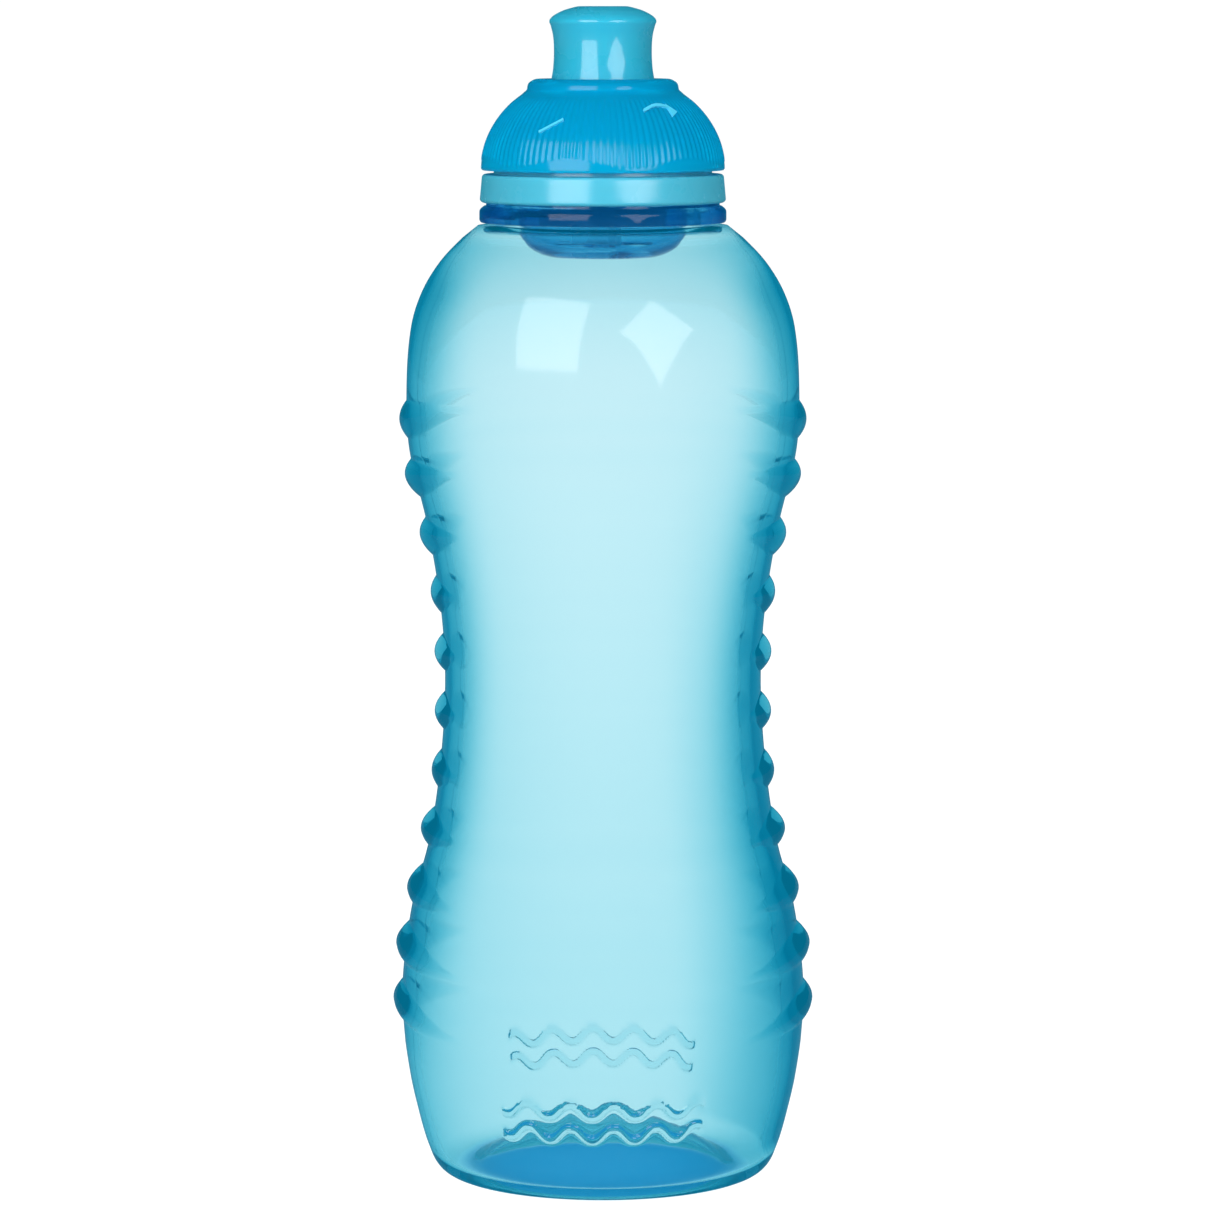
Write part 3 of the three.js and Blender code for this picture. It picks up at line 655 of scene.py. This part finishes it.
def thread_height(z, angles, start_z, start_turn, root, crest, height):
    """How far a one-start right-hand thread stands off its wall at height z."""
    total = np.zeros(len(angles))
    turn = np.mod(angles / TURN - start_turn, 1.0)
    for lap in (-1, 0, 1, 2):
        along = turn + lap
        started = smoothstep(along, 0.0, THREAD_FADE)
        ended = smoothstep(along, THREAD_TURNS - THREAD_FADE, THREAD_TURNS)
        distance = np.abs(z - start_z - THREAD_LEAD * along)
        total = np.maximum(total, height * (started * (1 - ended)) * (1 - smoothstep(distance, crest, root)))
    return total


def level_rows(points, angles):
    """Rows (radius, height, bump) of plain rings."""
    flat = np.zeros(len(angles))
    return [(np.full(len(angles), float(r)), np.full(len(angles), float(z)), flat) for r, z in points]


def outside_rows(angles, ridged):
    """Rows up the outside of the bottle, from the middle of its base to the lip of its neck."""
    flat = np.zeros(len(angles))
    foot = bezier(PUNT[-1], (21.6, 0.1), (FOOT_RADII[0] + 0.3, 0.0), 5)
    foot += [(FOOT_RADII[1], 0.0)]
    foot += bezier(foot[-1], (28.3, 0.0), HEEL_TOP, 8)
    rows = level_rows(spline(PUNT, 5) + foot, angles)
    for z in HEEL_ROWS_Z:
        heights = np.full(len(angles), z)
        rows.append((body_radius(heights), heights, relief(z, angles)))
    rows += ridged
    top = ridged[-1][1]
    for t in np.linspace(0, 1, 30)[1:]:
        heights = top + (SHOULDER_TOP[1] - top) * t
        rows.append((body_radius(heights), heights, flat))
    neck = rounded([SHOULDER_TOP, (NECK_RADIUS + 0.35, 163.15, 0.3), (NECK_RADIUS, NECK_FILLET_TOP_Z, 0.3),
                    (NECK_RADIUS, NECK_LIP_Z)], closed=False)
    for r, z in divided(neck[1:], NECK_ROW_PITCH, closed=False):
        bump = thread_height(z, angles, **BOTTLE_THREAD) if z > THREAD_FOOT_Z else flat
        rows.append((np.full(len(angles), r), np.full(len(angles), z), bump))
    lip = bezier((NECK_RADIUS, NECK_LIP_Z), (NECK_RADIUS, NECK_TOP_Z), (16.2, NECK_TOP_Z), 4)
    lip += bezier((15.9, NECK_TOP_Z), (NECK_BORE, NECK_TOP_Z), (NECK_BORE, 172.5), 4)
    return rows + level_rows(lip, angles)


def inside_rows(angles, ridged):
    """Rows down the inside of the bottle, from its bore to the middle of its base."""
    flat = np.zeros(len(angles))
    shelf = [(NECK_BORE, 169)]
    shelf += bezier((NECK_BORE, 164.5), (NECK_BORE, 162.35), (17.8, 162.35), 5)
    shelf += bezier((18.8, 162.3), (20.9, 162.2), (22.0, 161.0), 5)
    rows = level_rows(shelf, angles)
    top, bottom = SHOULDER_INSIDE_Z
    for t in np.linspace(0, 1, 16)[1:]:
        heights = np.full(len(angles), top + (bottom - top) * t)
        outside = body_radius(heights + SHOULDER_OUTSIDE_SHIFT * (1 - t))
        wall = wall_thickness(heights, angles) * (1 + SHOULDER_THICKENING * (1 - t))
        rows.append((outside - wall, heights, flat))
    for radius, height, _ in reversed(ridged[::2]):
        rows.append((radius - wall_thickness(height, angles), height, flat))
    for z in (20, 17.5, 15, 12.5, 10, 7.5, 5.5):
        heights = np.full(len(angles), float(z))
        rows.append((body_radius(heights) - wall_thickness(heights, angles), heights, flat))
    base = bezier((28.4, 4.4), (27.3, BASE_WALL), (25.0, BASE_WALL), 6)
    base += [(r, z + BASE_WALL) for r, z in reversed(spline(PUNT, 3))]
    return rows + level_rows(base, angles)


def bottle_body(material):
    """The hollow bottle. Its vertices carry `polish`, 1 on the outside, and `relief`, the strokes' height."""
    angles = body_columns()
    ridged = ridged_rows(angles)
    outer, inner = outside_rows(angles, ridged), inside_rows(angles, ridged)
    rows = outer + inner
    parting = parting_line(angles)
    rings = np.empty((len(rows), len(angles), 3))
    polish, strokes = [], []
    for i, (radius, height, bump) in enumerate(rows):
        outside = i < len(outer)
        lined = outside and PARTING_Z_RANGE[0] < height.min() and height.max() < PARTING_Z_RANGE[1]
        rings[i] = ring(radius + bump + (parting if lined else 0), angles, height)
        polish.append(np.full(len(angles), float(outside)))
        stroked = outside and WAVE_Z_RANGE[0] < height[0] < WAVE_Z_RANGE[1]
        strokes.append(relief(height, angles) * stroked)
    values = {"polish": np.concatenate(polish), "relief": np.concatenate(strokes)}
    return skin("bottle_shell", rings, material, closed=False, values=values)


# ------------------------------------------------------------------ cap, twist base, gasket, post


def cap_thread(r, z, angles):
    """The thread stands on the inside of the skirt only, and inwards."""
    if abs(r - CAP_THREAD_WALL) >= 0.05:
        return np.zeros(len(angles))
    return -thread_height(z, angles, **CAP_THREAD)


def screw_cap(material):
    flange = [(CAP_THREAD_WALL, 163.5), (20.7, 163.5, 0.35), (21.0, 163.9, 0.3), (21.0, 165.7, 0.5),
              (20.2, 166.35, 0.25)]
    skirt = [(19.85, 166.35), (19.85, 170.2), (17.75, 171.8), (17.75, 175.2), (10.95, 175.2), (10.95, 174.1)]
    well_inside = [(13.2, 174.1), (13.2, 163.5, 1.0), (12.3, 160.2, 1.5), (9.6, 159.0, 1.0), (1.6, 159.0)]
    well_outside = [(1.6, 157.5), (10.0, 157.5, 2.0), (13.4, 159.4, 1.8), (14.4, 163.5, 1.0), (14.4, 174.1)]
    crown = [(17.0, 174.1), (17.0, 171.3), (CAP_THREAD_WALL, 170.4)]
    outline = rounded([*flange, *skirt, *well_inside, *well_outside, *crown])
    piece = turned("screw_cap_shell", divided(outline, 0.6), material, columns=144, push=cap_thread)
    return combine(piece, [flow_window(i) for i in range(WINDOW_COUNT)], "DIFFERENCE")


def flow_window(index):
    """A ring-shaped cutter, from one spoke of the well's floor to the next."""
    step = TURN / WINDOW_COUNT
    start = TURN * index / WINDOW_COUNT + step / 2
    angles = np.linspace(start + WINDOW_RIB_HALF_ANGLE, start + step - WINDOW_RIB_HALF_ANGLE, WINDOW_STEPS)
    (near, far), (low, high) = WINDOW_RADII, WINDOW_Z_RANGE
    section = rounded([(near, low), (far, low), (far, high), (near, high)], 0.1)
    return swept(f"window_cutter_{index}", [[at_angle(r, angle, z) for r, z in section] for angle in angles])


def twist_base(material):
    band = [(19.95, 166.9), (20.5, 166.9, 0.3), (20.92, 167.3, 0.25), (20.55, 171.35, 0.2),
            (20.25, 171.7, 0.2)]
    turret = [(18.55, 171.7, 0.15), (18.55, 174.2), (18.95, 174.7, 0.1), (18.55, 175.2),
              (18.55, 176.5, 0.4)]
    guide_tube = [(10.8, 176.5, 0.2), (10.8, 184.2, 0.2), (9.45, 184.2, 0.2), (9.45, 163.0, 0.2),
                  (10.8, 163.0, 0.2)]
    inside = [(10.8, 175.3), (17.85, 175.3), (17.85, 172.0), (19.95, 170.75)]
    outline = rounded([*band, *turret, *guide_tube, *inside])
    piece = turned("twist_base_ring", divided(outline, 1.2), material, columns=144)
    slots = [bevelled_box(f"slot_{i}", angle, **LUG_SLOT_BOX)
             for i, angle in enumerate(even_angles(LUG_COUNT))]
    return combine(piece, slots, "DIFFERENCE")


def neck_gasket(material):
    section = rounded([(14.8, 173.05), (16.8, 173.05), (16.8, 174.0), (14.8, 174.0)], 0.3)
    return turned("neck_gasket_ring", section, material)


def valve_post(material):
    outline = rounded([(0, 157.6), (1.5, 157.6), (1.5, 159.1), (3.1, 159.1), (2.5, 160.6), (2.5, 194.6),
                       (3.2, 195.4), (3.2, 198.7, 0.8), (1.2, 199.4, 0.6), (0, 199.4)], closed=False)
    piece = turned("valve_post_pin", outline, material, columns=64, closed=False)
    fins = [bevelled_box(f"fin_{i}", angle + math.pi / FIN_COUNT, **FIN_BOX)
            for i, angle in enumerate(even_angles(FIN_COUNT))]
    return combine(piece, fins, "UNION")


# ------------------------------------------------------------------ dome


def flute_edge(angles):
    """Height of the wavy lower edge of the fluted band."""
    return FLUTE_EDGE_Z + FLUTE_EDGE_SWING * np.cos(FLUTE_EDGE_WAVES * (angles - FRONT + FLUTE_EDGE_PHASE))


def flutes(r, z, angles):
    outside = r > float(dome_radius(min(z, 185.0))) - 0.3
    if not outside or z > FLUTE_END_Z:
        return np.zeros(len(angles))
    edge = flute_edge(angles)
    panel = smoothstep(z, edge, edge + FLUTE_EDGE_BLEND) * (1 - smoothstep(z, *FLUTE_TOP))
    groove = 0.5 - 0.5 * np.cos(FLUTE_COUNT * angles)
    return -FLUTE_EDGE_DEPTH * (1 - panel) - FLUTE_DEPTH * panel * groove


def twist_dome(material):
    outer = [(float(dome_radius(z)), float(z)) for z in np.linspace(DOME_RIM_Z + 0.25, DOME_COLLAR_Z, 58)]
    collar = rounded([(13.35, 185.55), (12.9, 185.9, 0.35), (12.7, 187.1, 0.5), (11.5, 187.8, 0.5),
                      (9.35, 187.8, 0.25), (9.35, 186.2, 0.2), (11.0, 185.3), (13.0, 184.7)], closed=False)
    inner = [(float(dome_radius(z, DOME_WALL)), float(z)) for z in np.linspace(184.1, DOME_RIM_Z + 0.3, 16)]
    snap_bead = [(19.3, 173.75), (18.8, 173.3), (19.3, 172.85)]
    above_bead = [point for point in inner if point[1] > 173.9]
    rim = [(19.6, DOME_RIM_Z), (20.6, DOME_RIM_Z)]
    outline = [*outer, *collar, *above_bead, *snap_bead, *rim]
    return turned("twist_dome_shell", outline, material, columns=FLUTE_COUNT * FLUTE_COLUMNS, push=flutes)


def cam_sleeve(material):
    """The sleeve inside the dome, whose three grooves lift the spout's lugs."""
    outline = rounded([(11.2, 177.0), (13.3, 177.0), (13.3, 184.55), (11.2, 185.1)], 0.15)
    piece = turned("cam_sleeve", divided(outline, 1.5), material, columns=144)
    return combine(piece, [cam_cutter(i) for i in range(LUG_COUNT)], "DIFFERENCE")


def cam_cutter(index):
    """The path that one lug sweeps inside the sleeve as the dome turns a quarter turn."""
    (near, far), (low, high) = CAM_RADII, CAM_Z_RANGE
    sections = []
    for i in range(-1, CAM_STEPS + 2):
        along = min(max(i / CAM_STEPS, 0.0), 1.0)
        angle = TURN * index / LUG_COUNT - math.pi / 2 * along
        angle += CAM_END_SLACK * (i < 0) - CAM_END_SLACK * (i > CAM_STEPS)
        rise = CAM_LIFT * along
        corners = ((near, low), (near, high), (far, high), (far, low))
        sections.append([at_angle(r, angle, z + rise) for r, z in corners])
    return swept(f"cam_cutter_{index}", sections)


def raised_mark(name, outline, material):
    """A mark standing on the dome. Its outline is a list of (degrees from the front, height) points."""
    points = divided([tuple(p) for p in outline], 0.7)
    work = bmesh.new()
    low, high = [], []
    for degrees, z in points:
        angle = FRONT + math.radians(degrees)
        r = float(dome_radius(z))
        slope = (r / DOME_RIM_RADIUS ** 2, 0, (z - DOME_RIM_Z) / DOME_ELLIPSE_HEIGHT ** 2)
        normal = Vector(slope).normalized()
        for group, lift in ((low, -MARK_EMBED), (high, MARK_HEIGHT)):
            group.append(work.verts.new(at_angle(r + normal.x * lift, angle, z + normal.z * lift)))
    work.faces.new(high)
    work.faces.new(list(reversed(low)))
    for i in range(len(points)):
        j = (i + 1) % len(points)
        work.faces.new((low[i], low[j], high[j], high[i]))
    bmesh.ops.triangulate(work, faces=[f for f in work.faces if len(f.verts) > 4])
    bmesh.ops.recalc_face_normals(work, faces=work.faces)
    vertices = [tuple(v.co) for v in work.verts]
    work.verts.index_update()
    faces = [tuple(v.index for v in f.verts) for f in work.faces]
    work.free()
    piece = mesh_object(name, vertices, faces, material)
    sharpen_shading(piece)
    return piece


def strip(points, half_width):
    """The outline of a stroke of even width along points (degrees, height)."""
    path = [np.array((d * MARK_SCALE, z)) for d, z in points]
    left, right = [], []
    for i, here in enumerate(path):
        along = path[min(i + 1, len(path) - 1)] - path[max(i - 1, 0)]
        across = np.array((-along[1], along[0])) / np.linalg.norm(along) * half_width
        left.append(here + across)
        right.append(here - across)
    return [(p[0] / MARK_SCALE, p[1]) for p in left + right[::-1]]


def dome_marks(material):
    """A slanted tick and a curved arrow that shows which way the dome turns."""
    tick = strip([(-33.5, 179.1), (-29.5, 179.8), (-25.5, 180.5), (-21.5, 181.2)], 0.17)
    arc = [(d, 182.6 + 0.9 * math.sin(math.radians((d - 24) * 8.2))) for d in np.linspace(24, 42, 9)]
    head = [(41.0, 183.6), (41.6, 181.6), (46.5, 182.3)]
    outlines = {"dome_tick": tick, "dome_arrow_stroke": strip(arc, 0.2), "dome_arrow_head": head}
    return [raised_mark(name, outline, material) for name, outline in outlines.items()]


# ------------------------------------------------------------------ spout


def spout_stem(material):
    seal_groove = [(9.2, 165.3, 0.1), (7.9, 165.3, 0.1), (7.9, 167.3, 0.1), (9.2, 167.3, 0.1)]
    outline = rounded([(5.8, 164.0, 0.3), (9.2, 164.0, 0.3), *seal_groove, (9.2, 168.6, 0.3),
                       (7.2, 168.6, 0.3), (7.2, 194.0), (5.8, 194.0)])
    piece = turned("spout_stem_tube", divided(outline, 2.0), material, columns=96)
    lugs = [bevelled_box(f"lug_{i}", angle, **LUG_BOX) for i, angle in enumerate(even_angles(LUG_COUNT))]
    return combine(piece, lugs, "UNION")


def stem_o_ring(material):
    (r, z), size = SEAL_RING_CENTRE, SEAL_RING_SECTION
    section = [(r + size * math.cos(a), z + size * math.sin(a)) for a in even_angles(16)]
    return turned("stem_seal_ring", section, material, columns=96)


def mouthpiece(material):
    side = spline([(8.75, 187.6), (8.45, 189.4), (8.3, 191.6), (8.32, 193.8), (8.5, 195.4), (8.85, 196.8)])
    crown = spline([(9.08, 197.35), (8.95, 197.85), (8.2, 198.55), (6.6, 199.35), (4.7, 199.9)])
    inside = rounded([(3.4, 200.0, 0.3), (3.4, 196.2, 0.2), (5.8, 195.3), (5.8, 194.3), (7.3, 194.3),
                      (7.3, 183.0), (8.75, 183.0, 0.4)], closed=False)
    outline = [*side, *crown, (4.2, 200.0), (3.7, 200.02), (3.45, 199.8), *inside[1:]]
    return turned("mouthpiece_tip", divided(outline, 1.0), material, columns=160)


# ------------------------------------------------------------------ studio

ROOM = {"seen": 1.02, "diffuse": 0.2, "mirrored": 0.5}  # strengths by the kind of ray that meets it
FLOOR = {"seen": 1.02, "diffuse": 0.2, "mirrored": 0.4}
WHITE = (1, 1, 1)
MIRROR_TINT = (0.02, 0.45, 0.68)
FLOOR_RADIUS = 3.2
FLOOR_COLUMNS = 96
FLOOR_PAINT = ((0.20, 0.205, 0.21), (0.22, 0.222, 0.225))
FLOOR_GRAIN = {"scale": 3, "detail": 2.0}
# painted shadow under the bottle: near the bottle's axis the floor's glow is this dim blue, out to the edge
# given below
PAINTED_SHADOW_COLOUR = (0.0, 0.27, 0.59)
PAINTED_SHADOW_EDGE = (0.020, 0.027)  # metres from the bottle's axis

LIT_POINT = (0, 0, 0.145)
SOFTBOXES = {  # azimuth from the front towards +X and elevation in degrees, lengths in metres
    "softbox_left": dict(azimuth=-31, elevation=22, distance=0.22, size=(0.146, 0.158), radiance=4.2),
    "softbox_right": dict(azimuth=31, elevation=22, distance=0.22, size=(0.120, 0.120), radiance=4.2,
                          roll=43, shift=(0.003, -0.012)),
    "overhead": dict(azimuth=170, elevation=62, distance=1.6, size=(1.3, 1.3), radiance=1.0, mirrored=False),
    "fill": dict(azimuth=0, elevation=25, distance=1.5, size=(0.7, 0.7), radiance=3.2, mirrored=False),
}

LENS, SENSOR_WIDTH = 156.2, 36
EYE = (0.0007, -0.897, 0.1993)
AIM = (0.0007, 0.0, 0.0977)


def tinted_by_ray(nodes, links, path, seen):
    """The seen colour for what is looked at directly or through plastic. Gloss mirrors a blue tint."""
    mirrored = mixed_colour(nodes, links, path.outputs["Is Glossy Ray"], seen, MIRROR_TINT)
    return mixed_colour(nodes, links, path.outputs["Is Transmission Ray"], mirrored, seen)


def by_ray(nodes, links, path, seen, diffuse, mirrored):
    """One strength for what is looked at directly or through plastic, one for matt light, one for gloss."""
    strength = None
    strengths = {"Is Diffuse Ray": diffuse, "Is Glossy Ray": mirrored, "Is Transmission Ray": seen}
    for ray, value in strengths.items():
        mix = nodes.new("ShaderNodeMix")
        mix.inputs["A"].default_value = seen
        if strength is not None:
            links.new(strength, mix.inputs["A"])
        mix.inputs["B"].default_value = value
        links.new(path.outputs[ray], mix.inputs["Factor"])
        strength = mix.outputs["Result"]
    return strength


def floor():
    """A round pale floor, wide enough to fill the view. Inside the ring that the bottle stands on, its glow
    is dimmed and tinted blue: a painted shadow, coloured as if by light that has come through the bottle."""
    mesh = bpy.data.meshes.new("floor")
    corners = [at_angle(FLOOR_RADIUS, angle, 0.0) for angle in even_angles(FLOOR_COLUMNS)]
    mesh.from_pydata(corners, [], [tuple(range(FLOOR_COLUMNS))])
    material, nodes, links, shader, output = new_material("floor_paint")
    paint = mixed_colour(nodes, links, noise(nodes, links, **FLOOR_GRAIN), *FLOOR_PAINT)
    links.new(paint, shader.inputs["Base Color"])
    shader.inputs["Roughness"].default_value = 0.7
    shader.inputs["Specular IOR Level"].default_value = 0.1
    where = nodes.new("ShaderNodeTexCoord")
    distance = nodes.new("ShaderNodeVectorMath")
    distance.operation = "LENGTH"
    links.new(where.outputs["Object"], distance.inputs[0])
    # painted shadow: under the bottle the floor's glow is painted dim blue
    off_painted_shadow = between(nodes, links, distance.outputs["Value"], PAINTED_SHADOW_EDGE, smooth=True)
    with_painted_shadow = mixed_colour(nodes, links, off_painted_shadow, PAINTED_SHADOW_COLOUR, WHITE)
    path = nodes.new("ShaderNodeLightPath")
    links.new(tinted_by_ray(nodes, links, path, with_painted_shadow), shader.inputs["Emission Color"])
    links.new(by_ray(nodes, links, path, **FLOOR), shader.inputs["Emission Strength"])
    mesh.materials.append(material)
    plane = add_object("floor", mesh)


def world_light():
    """A plain pale room, the same all round: gloss mirrors a much dimmer one."""
    world = bpy.data.worlds.new("room")
    bpy.context.scene.world = world
    world.use_nodes = True
    nodes, links = world.node_tree.nodes, world.node_tree.links
    background = nodes["Background"]
    path = nodes.new("ShaderNodeLightPath")
    links.new(tinted_by_ray(nodes, links, path, WHITE), background.inputs["Color"])
    links.new(by_ray(nodes, links, path, **ROOM), background.inputs["Strength"])


def softbox(name, azimuth, elevation, distance, size, radiance, roll=0.0, shift=(0.0, 0.0), mirrored=True):
    """An area light that faces the bottle's shoulder. Only gloss shows it, and that where `mirrored`."""
    data = bpy.data.lights.new(name, "AREA")
    data.shape = "RECTANGLE"
    width, height = size
    data.size = width
    data.size_y = height
    data.energy = radiance * math.pi * width * height
    turn, lift = math.radians(azimuth), math.radians(elevation)
    direction = Vector((math.sin(turn) * math.cos(lift), -math.cos(turn) * math.cos(lift), math.sin(lift)))
    light = add_object(name, data)
    light.location = Vector(LIT_POINT) + direction * distance
    light.rotation_euler = direction.to_track_quat("Z", "Y").to_euler()
    light.location += light.rotation_euler.to_matrix() @ Vector((*shift, 0))
    light.rotation_euler.rotate_axis("Z", math.radians(roll))
    light.visible_camera = False
    light.visible_transmission = False
    light.visible_glossy = mirrored


def camera():
    """Slightly above the cap, looking a little down, from the front."""
    data = bpy.data.cameras.new("camera")
    data.lens = LENS
    data.sensor_width = SENSOR_WIDTH
    view = add_object("camera", data)
    view.location = Vector(EYE)
    view.rotation_euler = (Vector(AIM) - Vector(EYE)).to_track_quat("-Z", "Y").to_euler()
    bpy.context.scene.camera = view


def studio():
    camera()
    floor()
    world_light()
    for name, settings in SOFTBOXES.items():
        softbox(name, **settings)
    scene = bpy.context.scene
    scene.view_settings.view_transform = "Standard"
    scene.view_settings.look = "None"
    scene.cycles.max_bounces = 24
    scene.cycles.transmission_bounces = 20
    scene.cycles.transparent_max_bounces = 16


# ------------------------------------------------------------------ assembly


def build():
    plastic = {name: moulded_plastic(name, **recipe) for name, recipe in PLASTICS.items()}
    bottle_body(plastic["bottle_plastic"])
    place("bottle_shell", "bottle", ["bottle_body"])
    neck_gasket(plastic["seal_rubber"])
    place("neck_gasket_ring", "gasket", ["neck_gasket"])
    screw_cap(plastic["cap_plastic"])
    place("screw_cap_shell", "cap", ["screw_cap"])
    twist_base(plastic["base_plastic"])
    place("twist_base_ring", "cap", ["twist_base"])
    valve_post(plastic["post_plastic"])
    place("valve_post_pin", "cap", ["valve_post"])
    twist_dome(plastic["dome_plastic"])
    place("twist_dome_shell", "dome", ["twist_dome"])
    cam_sleeve(plastic["dome_plastic"])
    place("cam_sleeve", "dome")
    for mark in dome_marks(plastic["mark_painted_highlight_plastic"]):
        place(mark.name, "dome")
    spout_stem(plastic["stem_plastic"])
    place("spout_stem_tube", "spout", ["spout_stem"])
    stem_o_ring(plastic["seal_rubber"])
    place("stem_seal_ring", "spout", ["stem_o_ring"])
    mouthpiece(plastic["spout_plastic"])
    place("mouthpiece_tip", "spout", ["mouthpiece"])


studio()
build()
